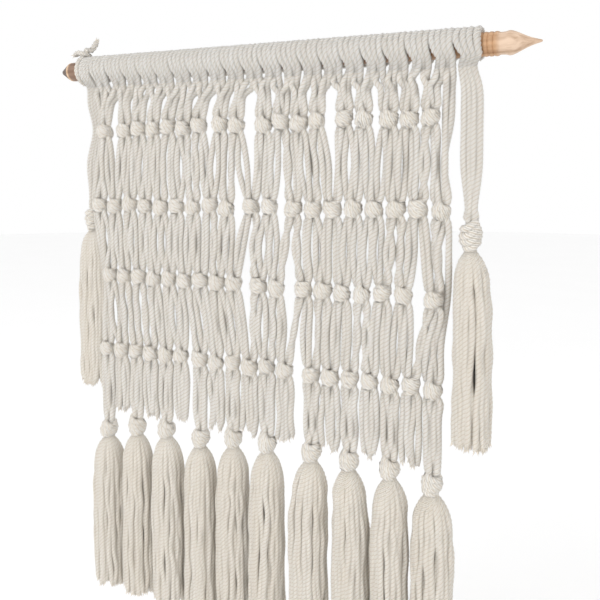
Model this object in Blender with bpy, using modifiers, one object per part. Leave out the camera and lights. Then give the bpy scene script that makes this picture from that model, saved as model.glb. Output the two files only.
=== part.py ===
"""Macrame wall hanging: a knotted net, fringe and tassels hanging from a turned wooden rod.

Sizes are in millimetres until new_mesh and place_object turn them into metres.
The origin is the middle of the rod's axis. +X is to the right, +Z is up, and the front faces -Y.
"""
import math
from collections import namedtuple

import bpy
from mathutils import Vector

MM = 0.001
GAP = 0.4                       # air between neighbouring pieces

# Rod, turned, with a ringed and bluntly pointed end on each side
ROD_HALF = 255.0
ROD_RADIUS = 10.0
ROD_LEAN = 4.0                  # how far the left end stands above the middle, and the right end below
ROD_STEPS = 20

# The rod's two ends, as (distance from the tip, radius), from the tip inwards
LEFT_END = (
    (0.0, 0.0), (0.0, 2.6), (7.0, 6.4), (14.0, 10.0), (26.0, 10.0), (27.2, 9.1), (29.5, 10.0),
)
RIGHT_END = (
    (0.0, 0.0), (0.0, 0.8), (8.0, 3.1), (15.0, 6.1), (24.0, 10.0), (29.0, 9.1), (33.0, 9.1),
    (34.5, 10.0), (37.0, 10.0), (38.0, 9.1), (39.0, 10.0), (41.5, 10.0), (42.5, 9.1), (43.5, 10.0),
)

# Heading: hitches side by side round the rod
HEADING_LEFT = -219.0
HEADING_RIGHT = 207.5
HITCHES = 21
HITCH_RADIUS = 15.0
HITCH_WAIST = 13.2              # radius in the valley between two hitches
HITCH_END = 12.2
HEADING_STEPS = 12

# Net
KNOT_WIDTH = 17.0
KNOT_HALF_DEPTH = 8.0
KNOT_HALF_HEIGHT = 7.0
BUNDLE_HALF_DEPTH = 3.8         # where the yarns gather above and below a knot
WEB_HALF_DEPTH = 2.4            # where they spread between two knots
GAP_REACH = 28.0                # how far above and below its row of knots a gap closes
BAND_MARGIN = 4.0               # a gap also closes this far inside its band

# A row of knots: how many, their height, the first and last knot, and the net's two edges there
Row = namedtuple("Row", "number knots height first last left right top bottom")
ROWS = (
    Row(1, 18, -61.0, -197.0, 164.0, -208.0, 183.5, None, -101.0),
    Row(2, 19, -141.0, -205.0, 174.0, -212.5, 183.0, -101.0, -179.0),
    Row(3, 18, -217.0, -192.5, 168.5, -207.0, 182.0, -179.0, -257.0),
    Row(4, 19, -297.0, -197.5, 168.5, -206.0, 177.5, -257.0, -321.0),
)

# The larger gaps: the row, the knot on the left, and how far apart its two knots stand
Gap = namedtuple("Gap", "row after spread")
GAPS = (
    Gap(1, 1, 27.0), Gap(1, 7, 25.0), Gap(1, 9, 30.5), Gap(1, 13, 27.0), Gap(1, 15, 23.5),
    Gap(2, 9, 28.0), Gap(2, 11, 25.5),
    Gap(3, 9, 28.5), Gap(3, 11, 29.5), Gap(3, 17, 27.5),
    Gap(4, 6, 23.5), Gap(4, 12, 28.5),
)

# Fringe: a strip under the last row, with a tooth of cut ends below every second knot
STRIP_BOTTOM = -329.0
STRIP_HALF_DEPTH = 2.6
TOOTH_HALF_WIDTH = 7.6
FRINGE_END = -364.0
FRINGE_UNEVEN = 3.0             # the cut ends rise and fall this much

# Bottom tassels: the head's height, and how far the skirt's middle shifts from its knot
Tassel = namedtuple("Tassel", "head_height skirt_shift")
TASSELS = (
    Tassel(-388.0, 0.0), Tassel(-379.0, 1.0), Tassel(-376.0, 1.0), Tassel(-379.0, 0.5),
    Tassel(-373.0, -1.0), Tassel(-371.0, -1.5), Tassel(-372.0, -3.5), Tassel(-373.0, 3.0),
    Tassel(-374.0, -1.0), Tassel(-381.0, 1.0),
)
TASSEL_FLOOR = -560.0
SKIRT_HALF_WIDTH = 20.5
SKIRT_HALF_DEPTH = 17.5
SKIRT_SIDES = 16
SKIRT_FLUTE = 0.07              # how much the skirt's surface ripples, as a share of its radius

# A skirt, from under its head to the cut: how far down, as a share of the length, and how wide
SkirtRing = namedtuple("SkirtRing", "down spread")
SKIRT_RINGS = (
    SkirtRing(0.0, 0.36), SkirtRing(0.05, 0.64), SkirtRing(0.11, 0.85),
    SkirtRing(0.32, 1.0), SkirtRing(1.0, 1.0),
)

# A ball knot: height from its middle and radius, as shares of its half height and half width
BallRing = namedtuple("BallRing", "rise spread")
BALL_RINGS = (
    BallRing(0.95, 0.52), BallRing(0.72, 0.84), BallRing(0.25, 1.0),
    BallRing(-0.35, 1.0), BallRing(-0.80, 0.80), BallRing(-1.0, 0.55),
)
BALL_SIDES = 8
HEAD_HALF_WIDTH = 9.3
HEAD_HALF_HEIGHT = 10.5
NECK_HALF_WIDTH = 7.6
NECK_HALF_DEPTH = 3.4

# Side tassels: where the bundle leaves the rod, where the head hangs, and the skirt's half widths
Side = namedtuple("Side", "name top_x head_x head_y head_height floor half_width half_depth lean_x")
SIDES = (
    Side("side_left", -217.0, -227.0, 13.0, -158.0, -344.0, 22.0, 11.5, 0.0),
    Side("side_right", 199.0, 200.0, 0.0, -162.0, -342.0, 17.5, 17.0, 2.6),
)
SIDE_HEAD_HALF_WIDTH = 10.5
SIDE_HEAD_HALF_HEIGHT = 13.5
BUNDLE_HALF_WIDTH = 8.2
BUNDLE_DEPTH = 3.8
BUNDLE_SETTLE = 45.0            # below the rod, a bundle that hangs behind has reached its depth here

# Tie: a yarn round the rod's left end, knotted on top
YARN_RADIUS = 2.5
TIE_LOOP_X = -222.5
TIE_KNOT_SWELL = 2.1
TIE_KNOT_RISE = 6.4             # the knot's middle above the loop's
TIE_SIDES = 10

COLLECTION = "macrame_wall_hanging"
YARN_COLOUR = (0.72, 0.68, 0.58)
WOOD_COLOUR = (0.46, 0.31, 0.19)


def clear_scene():
    for item in list(bpy.data.objects):
        bpy.data.objects.remove(item, do_unlink=True)


def make_collection(name):
    collection = bpy.data.collections.new(name)
    bpy.context.scene.collection.children.link(collection)
    return collection


def make_material(name, colour, roughness):
    material = bpy.data.materials.new(name)
    material.use_nodes = True
    shader = material.node_tree.nodes["Principled BSDF"]
    shader.inputs["Base Color"].default_value = (*colour, 1.0)
    shader.inputs["Roughness"].default_value = roughness
    shader.inputs["Metallic"].default_value = 0.0
    return material


def new_mesh(name, points, faces, material, collection):
    """Add an object whose points are given in millimetres."""
    mesh = bpy.data.meshes.new(name)
    mesh.from_pydata([Vector(point) * MM for point in points], [], faces)
    mesh.update()
    mesh.materials.append(material)
    item = bpy.data.objects.new(name, mesh)
    collection.objects.link(item)
    return item


def rod_height(x):
    """Height of the rod's axis, which leans down to the right."""
    return -ROD_LEAN * x / ROD_HALF


def turn_along_rod(name, profile, closed, steps, material, collection):
    """Turn a profile of (place along the rod, radius) pairs, right end first, round the rod's axis."""
    count = len(profile)
    points = [Vector((radius, 0.0, along)) * MM for along, radius in profile]
    edges = [(i, i + 1) for i in range(count - 1)]
    if closed:
        edges.append((count - 1, 0))
    mesh = bpy.data.meshes.new(name)
    mesh.from_pydata(points, edges, [])
    mesh.materials.append(material)
    item = bpy.data.objects.new(name, mesh)
    item.rotation_euler = (0.0, math.pi / 2 + math.atan2(ROD_LEAN, ROD_HALF), 0.0)
    collection.objects.link(item)
    screw = item.modifiers.new("turned", "SCREW")
    screw.axis = "Z"
    screw.angle = math.tau
    screw.steps = steps
    screw.render_steps = steps
    screw.use_merge_vertices = True
    screw.merge_threshold = 0.00001
    screw.use_smooth_shade = True
    return item


def build_rod(material, collection):
    right = [(ROD_HALF - inward, radius) for inward, radius in RIGHT_END]
    left = [(inward - ROD_HALF, radius) for inward, radius in reversed(LEFT_END)]
    turn_along_rod("rod", right + left, False, ROD_STEPS, material, collection)


def build_heading(material, collection):
    """A sleeve that swells over each hitch, bored to clear the rod."""
    pitch = (HEADING_RIGHT - HEADING_LEFT) / HITCHES
    bore = ROD_RADIUS + GAP
    profile = [(HEADING_RIGHT, HITCH_END)]
    for hitch in range(HITCHES):
        middle = HEADING_RIGHT - (hitch + 0.5) * pitch
        profile.append((middle + pitch / 5, HITCH_RADIUS))
        profile.append((middle - pitch / 5, HITCH_RADIUS))
        last = hitch == HITCHES - 1
        profile.append((middle - pitch / 2, HITCH_END if last else HITCH_WAIST))
    profile += [(HEADING_LEFT, bore), (HEADING_RIGHT, bore)]
    turn_along_rod("heading", profile, True, HEADING_STEPS, material, collection)


def knot_places(row):
    """Where a row's knots stand along X: evenly, but further apart at its gaps."""
    spreads = {gap.after: gap.spread for gap in GAPS if gap.row == row.number}
    rest = (row.last - row.first - sum(spreads.values())) / (row.knots - 1 - len(spreads))
    places = [row.first]
    for number in range(1, row.knots):
        places.append(places[-1] + spreads.get(number, rest))
    return places


def gap_end_below(row):
    """How far below a row's knots its gaps close."""
    return min(GAP_REACH, row.height - row.bottom - BAND_MARGIN)


def gap_share(row, offset):
    """Width of a gap at a height above or below its row, as a share of its full width."""
    end = GAP_REACH if offset > 0.0 else gap_end_below(row)
    away = max(abs(offset), KNOT_HALF_HEIGHT)
    return max(0.0, (end - away) / (end - KNOT_HALF_HEIGHT))


def band_columns(row):
    """The columns of a band, left to right, as (x, full width of the gap there, is it a knot)."""
    places = knot_places(row)
    spreads = {gap.after: gap.spread for gap in GAPS if gap.row == row.number}
    columns = [(row.left, 0.0, False)]
    for number, place in enumerate(places, start=1):
        columns.append((place, 0.0, True))
        if number < row.knots:
            middle = (place + places[number]) / 2
            width = spreads[number] - KNOT_WIDTH if number in spreads else 0.0
            columns.append((middle, width, False))
    columns.append((row.right, 0.0, False))
    return columns


def build_band(row, material, collection):
    """One row of knots with the yarns above and below it, open at its larger gaps."""
    offsets = [
        None, GAP_REACH, KNOT_HALF_HEIGHT, -KNOT_HALF_HEIGHT, -gap_end_below(row), row.bottom - row.height,
    ]
    points, depths, edges_left, edges_right = [], [], [], []
    for x, width, is_knot in band_columns(row):
        left_side, right_side = [], []
        for offset in offsets:
            if offset is None:
                top = rod_height(x) - HITCH_RADIUS if row.top is None else row.top
                z = top - GAP
                half_gap = 0.0
            else:
                z = row.height + offset
                half_gap = width * gap_share(row, offset) / 2
            at_knot = is_knot and offset is not None and abs(offset) <= KNOT_HALF_HEIGHT
            bundle = BUNDLE_HALF_DEPTH if is_knot else WEB_HALF_DEPTH
            depth = KNOT_HALF_DEPTH if at_knot else bundle
            left_side.append(len(points))
            points.append((x - half_gap, 0.0, z))
            depths.append(depth)
            if half_gap > 0.0:
                points.append((x + half_gap, 0.0, z))
                depths.append(depth)
            right_side.append(len(points) - 1)
        edges_left.append(left_side)
        edges_right.append(right_side)
    faces = []
    for column in range(len(edges_left) - 1):
        near, far = edges_right[column], edges_left[column + 1]
        for line in range(len(offsets) - 1):
            faces.append((near[line], near[line + 1], far[line + 1], far[line]))
    band = new_mesh(f"net_row_{row.number}", points, faces, material, collection)
    plump = band.vertex_groups.new(name="plump")
    for index, depth in enumerate(depths):
        plump.add([index], depth / KNOT_HALF_DEPTH, "REPLACE")
    solid = band.modifiers.new("plump", "SOLIDIFY")
    solid.thickness = 2 * KNOT_HALF_DEPTH * MM
    solid.offset = 0.0
    solid.vertex_group = plump.name
    solid.use_even_offset = False


def build_fringe(material, collection):
    """A comb: a strip under the last row, and a tooth of cut ends below every second knot."""
    last = ROWS[-1]
    places = knot_places(last)
    top = last.bottom - GAP
    outline = [(last.right, top), (last.left, top), (last.left, STRIP_BOTTOM)]
    for tooth, place in enumerate(places[1::2]):
        end = FRINGE_END + FRINGE_UNEVEN * math.sin(2.3 * tooth)
        slant = FRINGE_UNEVEN * math.cos(1.7 * tooth) / 2
        outline.append((place - TOOTH_HALF_WIDTH, STRIP_BOTTOM))
        outline.append((place - TOOTH_HALF_WIDTH + 0.8, end - slant))
        outline.append((place + TOOTH_HALF_WIDTH - 0.8, end + slant))
        outline.append((place + TOOTH_HALF_WIDTH, STRIP_BOTTOM))
    outline.append((last.right, STRIP_BOTTOM))
    curve = bpy.data.curves.new("fringe", "CURVE")
    curve.dimensions = "2D"
    curve.fill_mode = "BOTH"
    curve.extrude = STRIP_HALF_DEPTH * MM
    spline = curve.splines.new("POLY")
    spline.points.add(len(outline) - 1)
    for point, (x, z) in zip(spline.points, outline):
        point.co = (x * MM, z * MM, 0.0, 1.0)
    spline.use_cyclic_u = True
    curve.materials.append(material)
    item = bpy.data.objects.new("fringe", curve)
    item.rotation_euler = (math.pi / 2, 0.0, 0.0)
    collection.objects.link(item)


def oval(x, y, z, left, right, depth, sides, flute=0.0):
    """A level ring that reaches left and right by different amounts, rippled where flute is set."""
    ring = []
    for side in range(sides):
        angle = math.tau * side / sides
        ripple = 1.0 - flute * (side % 2)
        reach = right if math.cos(angle) > 0.0 else left
        ring.append((x + reach * ripple * math.cos(angle), y + depth * ripple * math.sin(angle), z))
    return ring


def loft(name, rings, material, collection):
    """Skin a stack of rings, given top first, and close both ends."""
    sides = len(rings[0])
    points = [point for ring in rings for point in ring]
    faces = [tuple(range(sides))]
    for level in range(len(rings) - 1):
        upper, lower = level * sides, (level + 1) * sides
        for side in range(sides):
            following = (side + 1) % sides
            faces.append((upper + side, lower + side, lower + following, upper + following))
    base = (len(rings) - 1) * sides
    faces.append(tuple(base + side for side in reversed(range(sides))))
    item = new_mesh(name, points, faces, material, collection)
    item.data.shade_smooth()
    item.data.set_sharp_from_angle(angle=math.radians(50))
    return item


def ball_rings(x, y, z, half_width, half_height):
    return [
        oval(x, y, z + ring.rise * half_height, ring.spread * half_width, ring.spread * half_width,
             ring.spread * half_width, BALL_SIDES)
        for ring in BALL_RINGS
    ]


def build_skirt(name, top, floor, x_top, x_foot, y, left, right, depth, material, collection):
    """A cut skirt that flares from under its ball knot and hangs straight to the cut."""
    rings = []
    for ring in SKIRT_RINGS:
        x = x_top + (x_foot - x_top) * min(1.0, ring.down / SKIRT_RINGS[-2].down)
        z = top + (floor - top) * ring.down
        rings.append(oval(x, y, z, left * ring.spread, right * ring.spread, depth * ring.spread,
                          SKIRT_SIDES, SKIRT_FLUTE))
    loft(name, rings, material, collection)


def build_tassels(material, collection):
    """The ten tassels below the odd knots of the last row."""
    heads = knot_places(ROWS[-1])[::2]
    feet = [head + tassel.skirt_shift for head, tassel in zip(heads, TASSELS)]
    neck_top = STRIP_BOTTOM - GAP
    for index, tassel in enumerate(TASSELS):
        name = f"tassel_{index + 1:02d}"
        head, foot = heads[index], feet[index]
        z = tassel.head_height
        ball_top = z + HEAD_HALF_HEIGHT
        rings = [
            oval(head, 0.0, neck_top, NECK_HALF_WIDTH, NECK_HALF_WIDTH, NECK_HALF_DEPTH, BALL_SIDES),
            oval(head, 0.0, (neck_top + ball_top) / 2, 6.2, 6.2, 4.2, BALL_SIDES),
        ]
        rings += ball_rings(head, 0.0, z, HEAD_HALF_WIDTH, HEAD_HALF_HEIGHT)
        loft(name + "_head", rings, material, collection)
        left = right = SKIRT_HALF_WIDTH
        if index > 0:
            left = min(left, (foot - feet[index - 1] - GAP) / 2)
        if index < len(TASSELS) - 1:
            right = min(right, (feet[index + 1] - foot - GAP) / 2)
        build_skirt(name + "_skirt", z - HEAD_HALF_HEIGHT - GAP, TASSEL_FLOOR, head, foot, 0.0,
                    left, right, SKIRT_HALF_DEPTH, material, collection)


def build_side_tassels(material, collection):
    """The two long tassels that hang straight from the rod beside the net."""
    for side in SIDES:
        top = rod_height(side.top_x) - HITCH_RADIUS - 2 * GAP
        ball_top = side.head_height + SIDE_HEAD_HALF_HEIGHT
        start_y = min(side.head_y, 3.0)
        stops = ((top, start_y, side.top_x), (top - BUNDLE_SETTLE, side.head_y, side.top_x),
                 (ball_top + GAP, side.head_y, side.head_x))
        rings = [
            oval(x, y, z, BUNDLE_HALF_WIDTH, BUNDLE_HALF_WIDTH, BUNDLE_DEPTH, BALL_SIDES)
            for z, y, x in stops
        ]
        loft(side.name + "_bundle", rings, material, collection)
        rings = ball_rings(side.head_x, side.head_y, side.head_height,
                           SIDE_HEAD_HALF_WIDTH, SIDE_HEAD_HALF_HEIGHT)
        loft(side.name + "_head", rings, material, collection)
        build_skirt(side.name + "_skirt", side.head_height - SIDE_HEAD_HALF_HEIGHT - GAP, side.floor,
                    side.head_x, side.head_x + side.lean_x, side.head_y,
                    side.half_width, side.half_width, side.half_depth, material, collection)


def mesh_of_curve(item):
    """Replace a curve object by a mesh with welded ends."""
    graph = bpy.context.evaluated_depsgraph_get()
    mesh = bpy.data.meshes.new_from_object(item.evaluated_get(graph))
    name = item.name
    solid = bpy.data.objects.new(name, mesh)
    solid.matrix_world = item.matrix_world.copy()
    for collection in item.users_collection:
        collection.objects.link(solid)
    bpy.data.objects.remove(item, do_unlink=True)
    solid.name = name
    weld = solid.modifiers.new("weld", "WELD")
    weld.merge_threshold = 0.00001
    return solid


def build_tie(material, collection, cutters):
    """A yarn looped round the rod's left end, knotted on top, with two short free ends."""
    loop_radius = ROD_RADIUS + GAP + YARN_RADIUS
    knot_z = rod_height(TIE_LOOP_X) + loop_radius + TIE_KNOT_RISE
    knot_x = TIE_LOOP_X + 1.0
    route = (
        (knot_x - 15.0, -3.0, knot_z + 4.0, 1.0), (knot_x - 8.0, -2.0, knot_z + 1.5, 1.0),
        (knot_x - 4.5, -0.5, knot_z, TIE_KNOT_SWELL), (knot_x + 4.5, 0.5, knot_z, TIE_KNOT_SWELL),
        (knot_x + 8.5, 1.5, knot_z + 3.5, 1.0), (knot_x + 16.0, 3.0, knot_z + 15.0, 1.0),
    )
    curve = bpy.data.curves.new("tie", "CURVE")
    curve.dimensions = "3D"
    curve.bevel_depth = YARN_RADIUS * MM
    curve.bevel_resolution = 2
    curve.use_fill_caps = True
    spline = curve.splines.new("POLY")
    spline.points.add(len(route) - 1)
    for point, (x, y, z, swell) in zip(spline.points, route):
        point.co = (x * MM, y * MM, z * MM, 1.0)
        point.radius = swell
    curve.materials.append(material)
    item = bpy.data.objects.new("tie", curve)
    collection.objects.link(item)
    bpy.context.view_layer.update()
    tie = mesh_of_curve(item)
    bpy.ops.mesh.primitive_torus_add(
        major_radius=loop_radius * MM, minor_radius=YARN_RADIUS * MM,
        major_segments=18, minor_segments=TIE_SIDES,
        location=(TIE_LOOP_X * MM, 0.0, rod_height(TIE_LOOP_X) * MM), rotation=(0.0, math.pi / 2, 0.0))
    loop = bpy.context.object
    loop.name = "tie_loop"
    for owner in list(loop.users_collection):
        owner.objects.unlink(loop)
    cutters.objects.link(loop)
    loop.hide_render = True
    loop.display_type = "WIRE"
    join = tie.modifiers.new("loop", "BOOLEAN")
    join.operation = "UNION"
    join.object = loop


def main():
    clear_scene()
    collection = make_collection(COLLECTION)
    cutters = make_collection("joining_shapes")
    yarn = make_material("yarn", YARN_COLOUR, 0.92)
    wood = make_material("wood", WOOD_COLOUR, 0.55)
    build_rod(wood, collection)
    build_heading(yarn, collection)
    for row in ROWS:
        build_band(row, yarn, collection)
    build_fringe(yarn, collection)
    build_tassels(yarn, collection)
    build_side_tassels(yarn, collection)
    build_tie(yarn, collection, cutters)


main()
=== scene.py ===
"""Macrame wall hanging: twisted yarn, knots, fringe, tassels and a turned rod.

Everything is in metres. The origin is the middle of the rod's axis, +X is to the right, +Z is up,
and the front faces -Y. Lengths inside a knot are in units of PACKING, the spacing of the yarns.
"""
import math
from collections import namedtuple

import bpy
import numpy as np
from bpy.props import FloatProperty, FloatVectorProperty, PointerProperty
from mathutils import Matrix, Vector


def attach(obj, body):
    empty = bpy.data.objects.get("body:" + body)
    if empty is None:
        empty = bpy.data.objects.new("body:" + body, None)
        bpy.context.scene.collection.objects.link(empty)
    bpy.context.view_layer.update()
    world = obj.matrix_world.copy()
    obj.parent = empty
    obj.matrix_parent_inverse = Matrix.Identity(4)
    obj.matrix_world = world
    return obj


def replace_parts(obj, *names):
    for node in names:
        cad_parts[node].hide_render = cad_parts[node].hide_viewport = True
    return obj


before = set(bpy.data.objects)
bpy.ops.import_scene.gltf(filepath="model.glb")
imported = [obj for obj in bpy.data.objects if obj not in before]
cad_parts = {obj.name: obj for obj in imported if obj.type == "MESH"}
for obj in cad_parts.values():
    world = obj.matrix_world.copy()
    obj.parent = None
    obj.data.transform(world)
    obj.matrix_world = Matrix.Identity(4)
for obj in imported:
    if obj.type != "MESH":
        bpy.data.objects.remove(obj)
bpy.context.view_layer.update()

bl_info = {
    "name": "Macrame wall hanging",
    "version": (1, 0, 0),
    "blender": (4, 5, 0),
    "location": "View3D > Sidebar > Macrame",
    "description": "Knots a net of twisted yarn on a turned rod, with fringe, tassels and a tie",
    "category": "Add Mesh",
}

BODY = "root"

# Rod
ROD_HALF = 0.255
ROD_RADIUS = 0.01
ROD_LEAN = 0.004                # how far the left end stands above the middle, and the right end below

# The rod's two ends, from the tip inwards: the distance from the tip, and the radius there
LEFT_END = (
    (0.0, 0.0012), (0.0005, 0.0026), (0.004, 0.0046), (0.008, 0.007), (0.012, 0.0092),
    (0.0132, 0.0098), (0.0142, 0.01), (0.0155, 0.0096), (0.0165, 0.01), (0.0255, 0.01),
    (0.0262, 0.0093), (0.0272, 0.0098), (0.0282, 0.0091), (0.0292, 0.0098), (0.03, 0.01),
)
RIGHT_END = (
    (0.0, 0.0005), (0.0006, 0.001), (0.003, 0.0016), (0.008, 0.0031), (0.012, 0.0047),
    (0.016, 0.0066), (0.02, 0.0085), (0.0235, 0.0098), (0.0255, 0.01), (0.0285, 0.0092),
    (0.032, 0.009), (0.0333, 0.0092), (0.0341, 0.0098), (0.0355, 0.0101), (0.0371, 0.0098),
    (0.0378, 0.0091), (0.0385, 0.0098), (0.04, 0.0101), (0.0415, 0.0098), (0.0422, 0.0091),
    (0.0429, 0.0098), (0.0445, 0.0101), (0.0458, 0.0098), (0.0466, 0.0091), (0.0476, 0.0099),
)

# Heading
HEADING_LEFT = -0.219
HEADING_RIGHT = 0.2075
NET_LEFT = -0.206               # the net's hitches lie between these two, a side tassel's beyond
NET_RIGHT = 0.185
HITCHES = 21
YARNS_A_HITCH = 4
MIDDLE_YARN = (YARNS_A_HITCH - 1) / 2  # the middle of a bundle, whose yarns are numbered from 0
HITCH_PITCH = (NET_RIGHT - NET_LEFT) / (HITCHES - 2)
WRAP_RADIUS = ROD_RADIUS + 0.002
WRAP_TURNS = (300, 262, 222, 182, 146, 116, 92, 70, 48)  # a wrap's stops, in degrees round the rod
SWEEP_START = 122               # degrees at which the wraps start to sweep into the tongue
SWEEP_SPAN = 74
TONGUE_LEAN = 0.0042            # how far they sweep to the right on the rod's front
TONGUE_CLOSE_LEFT = 0.88        # and how close they come, as a share of their spacing, on the left
TONGUE_CLOSE_RIGHT = 0.7        # and at the right end
UNDER_ROD = 0.0168              # below the rod's axis, where the yarns leave the heading

# Net: a row's knots, their height, the first and last, the net's edges there, and the band's ends
Row = namedtuple("Row", "number knots height first last left right top bottom")
ROWS = (
    Row(1, 18, -0.061, -0.197, 0.164, -0.208, 0.1835, None, -0.101),
    Row(2, 19, -0.141, -0.205, 0.174, -0.2125, 0.183, -0.101, -0.179),
    Row(3, 18, -0.217, -0.1925, 0.1685, -0.207, 0.182, -0.179, -0.257),
    Row(4, 19, -0.297, -0.1975, 0.1685, -0.206, 0.1775, -0.257, -0.321),
)

# Larger gaps: the row, the knot on the left, and how far apart the two knots stand
Gap = namedtuple("Gap", "row after spread")
GAPS = (
    Gap(1, 1, 0.027), Gap(1, 7, 0.025), Gap(1, 9, 0.0305), Gap(1, 13, 0.027), Gap(1, 15, 0.0235),
    Gap(2, 9, 0.028), Gap(2, 11, 0.0255),
    Gap(3, 9, 0.0285), Gap(3, 11, 0.0295), Gap(3, 17, 0.0275),
    Gap(4, 6, 0.0235), Gap(4, 12, 0.0285),
)
NET_YARNS = YARNS_A_HITCH * (HITCHES - 2)

# Fringe and bottom tassels
FRINGE_END = -0.364
FRINGE_UNEVEN = 0.004
FRINGE_APART = (0.95, 0.98, 0.9)  # between a tuft's yarns from top to cut, in units of PACKING
NECK_APART = (0.74, 0.7)        # and between the yarns of a bottom tassel's neck
Tassel = namedtuple("Tassel", "head_height skirt_shift")
TASSELS = (
    Tassel(-0.388, 0.0), Tassel(-0.379, 0.001), Tassel(-0.376, 0.001), Tassel(-0.379, 0.0005),
    Tassel(-0.373, -0.001), Tassel(-0.371, -0.0015), Tassel(-0.372, -0.0035), Tassel(-0.373, 0.003),
    Tassel(-0.374, -0.001), Tassel(-0.381, 0.001),
)
TASSEL_FLOOR = -0.56
SKIRT_HALF_WIDTH = 0.0205
SKIRT_HALF_DEPTH = 0.0175
SKIRT_GAP = 0.0004
HEAD_HALF_HEIGHT = 0.0105
SKIRT_LAYERS = ((1.0, 21), (0.84, 14), (0.42, 2))  # how far out a layer lies, and its yarns
SKIRT_STOPS = (0.0, 0.05, 0.12, 0.2, 0.3, 0.41, 0.53, 0.65, 0.77, 0.89, 1.0)
SKIRT_STEP = 0.002
SKIRT_ROOT_RADIUS = 0.0016      # a skirt's yarns start this close together
SKIRT_ROOT_RISE = 0.007         # and this far up inside the head
SKIRT_OFF_PLACE = 0.25          # how far a yarn starts from its even place, as a share of the spacing
SKIRT_DRIFT = 0.15              # radians that it drifts round the skirt on its way down, at most
SKIRT_WAVE = 0.105              # radians that it waves from stop to stop, at most
SKIRT_WAVE_IN = 0.11            # and how far in and out, as shares of its distance from the middle
SKIRT_WAVE_OUT = 0.03
SKIRT_CUT_UNEVEN = 0.006

# From under a skirt's head to the cut: how far down, as a share of the length, and how wide
SKIRT_DOWN = (0.0, 0.05, 0.11, 0.32, 1.0)
SKIRT_SPREAD = (0.36, 0.64, 0.85, 1.0, 1.0)

# Side tassels: where the bundle leaves the rod, where the head hangs, and the skirt's half widths
Side = namedtuple(
    "Side", "name top_x under_y head_x head_y head_height floor half_width half_depth lean_x")
SIDES = (
    Side("side_left", -0.217, -0.001, -0.227, 0.013, -0.158, -0.344, 0.022, 0.0115, 0.0),
    Side("side_right", 0.199, -0.004, 0.2, 0.0, -0.162, -0.342, 0.0175, 0.017, 0.0026),
)
SIDE_HEAD_HALF_HEIGHT = 0.0135
SIDE_HEAD_WIDTH = 1.1           # a side head's knot, against one of the net's
SIDE_HEAD_HEIGHT = 1.7
SIDE_HEAD_TILT = -0.25
BUNDLE_SETTLE = 0.045           # below the rod, a bundle that hangs behind has reached its depth here
# Between a side bundle's yarns under the rod, where it has settled, halfway down and above the head
BUNDLE_APART = (0.84, 0.86, 0.76, 0.4)

# Tie
TIE_LOOP_X = -0.2225
TIE_KNOT_X = TIE_LOOP_X + 0.001
TIE_KNOT_RISE = 0.0046
TIE_TURNS = (40, 80, 125, 170, 215, 260, 305, 335)  # the loop's stops, in degrees round the rod
TIE_STEP = 0.0012
# From the left end into the knot, and from the loop out to the right end: place and squeeze
TIE_START = (
    (-0.014, -0.003, -0.0005, 1.0), (-0.008, -0.0036, 0.0012, 1.0), (-0.0015, -0.0042, -0.0002, 0.95),
    (0.0042, -0.001, -0.0018, 0.9), (0.001, 0.0035, -0.003, 0.9),
)
TIE_FINISH = (
    (-0.004, -0.001, -0.003, 0.9), (-0.005, 0.0022, 0.001, 0.9), (-0.0005, 0.001, 0.0042, 0.9),
    (0.0035, -0.0028, 0.003, 0.9), (0.0068, 0.0005, 0.004, 1.0), (0.0098, 0.0022, 0.0085, 1.0),
    (0.0124, 0.003, 0.0135, 1.0),
)

# Yarn's section: three plies, each with a ridge and a valley
SIDES_OF_YARN = 6
VALLEY = 0.8                    # the valley's radius, as a share of the ridge's
PACKING = 0.005                 # yarns that lie side by side are this far apart
STEP = 0.0018                   # between two sections along a yarn
FINE = 8                        # points of the smooth line from one stop to the next
FIBRES_A_TUFT = 7

# An overhand knot in a flat bundle, from its top to its foot, in units of PACKING: the middle of the
# bundle, the direction in which its yarns lie side by side, how far apart, and how much squeezed
KnotStop = namedtuple("KnotStop", "x y z across_x across_y across_z apart squeeze")
OVERHAND = tuple(KnotStop(*stop) for stop in (
    (0.0, 0.05, 2.3, 1.0, 0.0, 0.0, 0.92, 0.98),
    (0.0, 0.2, 1.45, 1.0, 0.0, 0.0, 0.7, 0.96),
    (-0.72, 0.5, 0.9, 0.55, 0.0, -0.8, 0.56, 0.98),
    (-1.06, -0.15, 0.38, 0.0, 0.0, -1.0, 0.56, 1.0),
    (-0.62, -0.82, 0.05, 0.0, 0.0, -1.0, 0.62, 1.05),
    (0.0, -1.02, -0.12, 0.0, 0.0, -1.0, 0.64, 1.07),
    (0.62, -0.82, -0.06, 0.0, 0.0, -1.0, 0.62, 1.05),
    (1.06, -0.15, 0.12, 0.0, 0.0, -1.0, 0.56, 1.0),
    (0.8, 0.65, -0.05, 0.0, 0.2, -1.0, 0.54, 0.96),
    (0.05, 0.9, -0.2, 0.0, 0.3, -1.0, 0.5, 0.94),
    (-0.45, 0.4, -0.32, 0.6, 0.3, -0.7, 0.45, 0.9),
    (-0.1, 0.0, -0.95, 1.0, 0.0, 0.0, 0.48, 0.9),
    (0.0, 0.05, -1.45, 1.0, 0.0, 0.0, 0.7, 0.95),
    (0.0, 0.05, -2.3, 1.0, 0.0, 0.0, 0.92, 0.98),
))
KNOT_BARREL = 0.1               # how much less far a knot's outermost yarns reach than its middle ones
KNOT_REACH = 2.3                # from a knot's middle to the ends of its route, in units of PACKING
KNOT_UNEVEN = 0.06              # how far a stop inside a knot is off its place, in the same units
ALTERNATE_DEPTH = 0.26          # the yarns of a bundle stand by turns this far in front and behind

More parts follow.
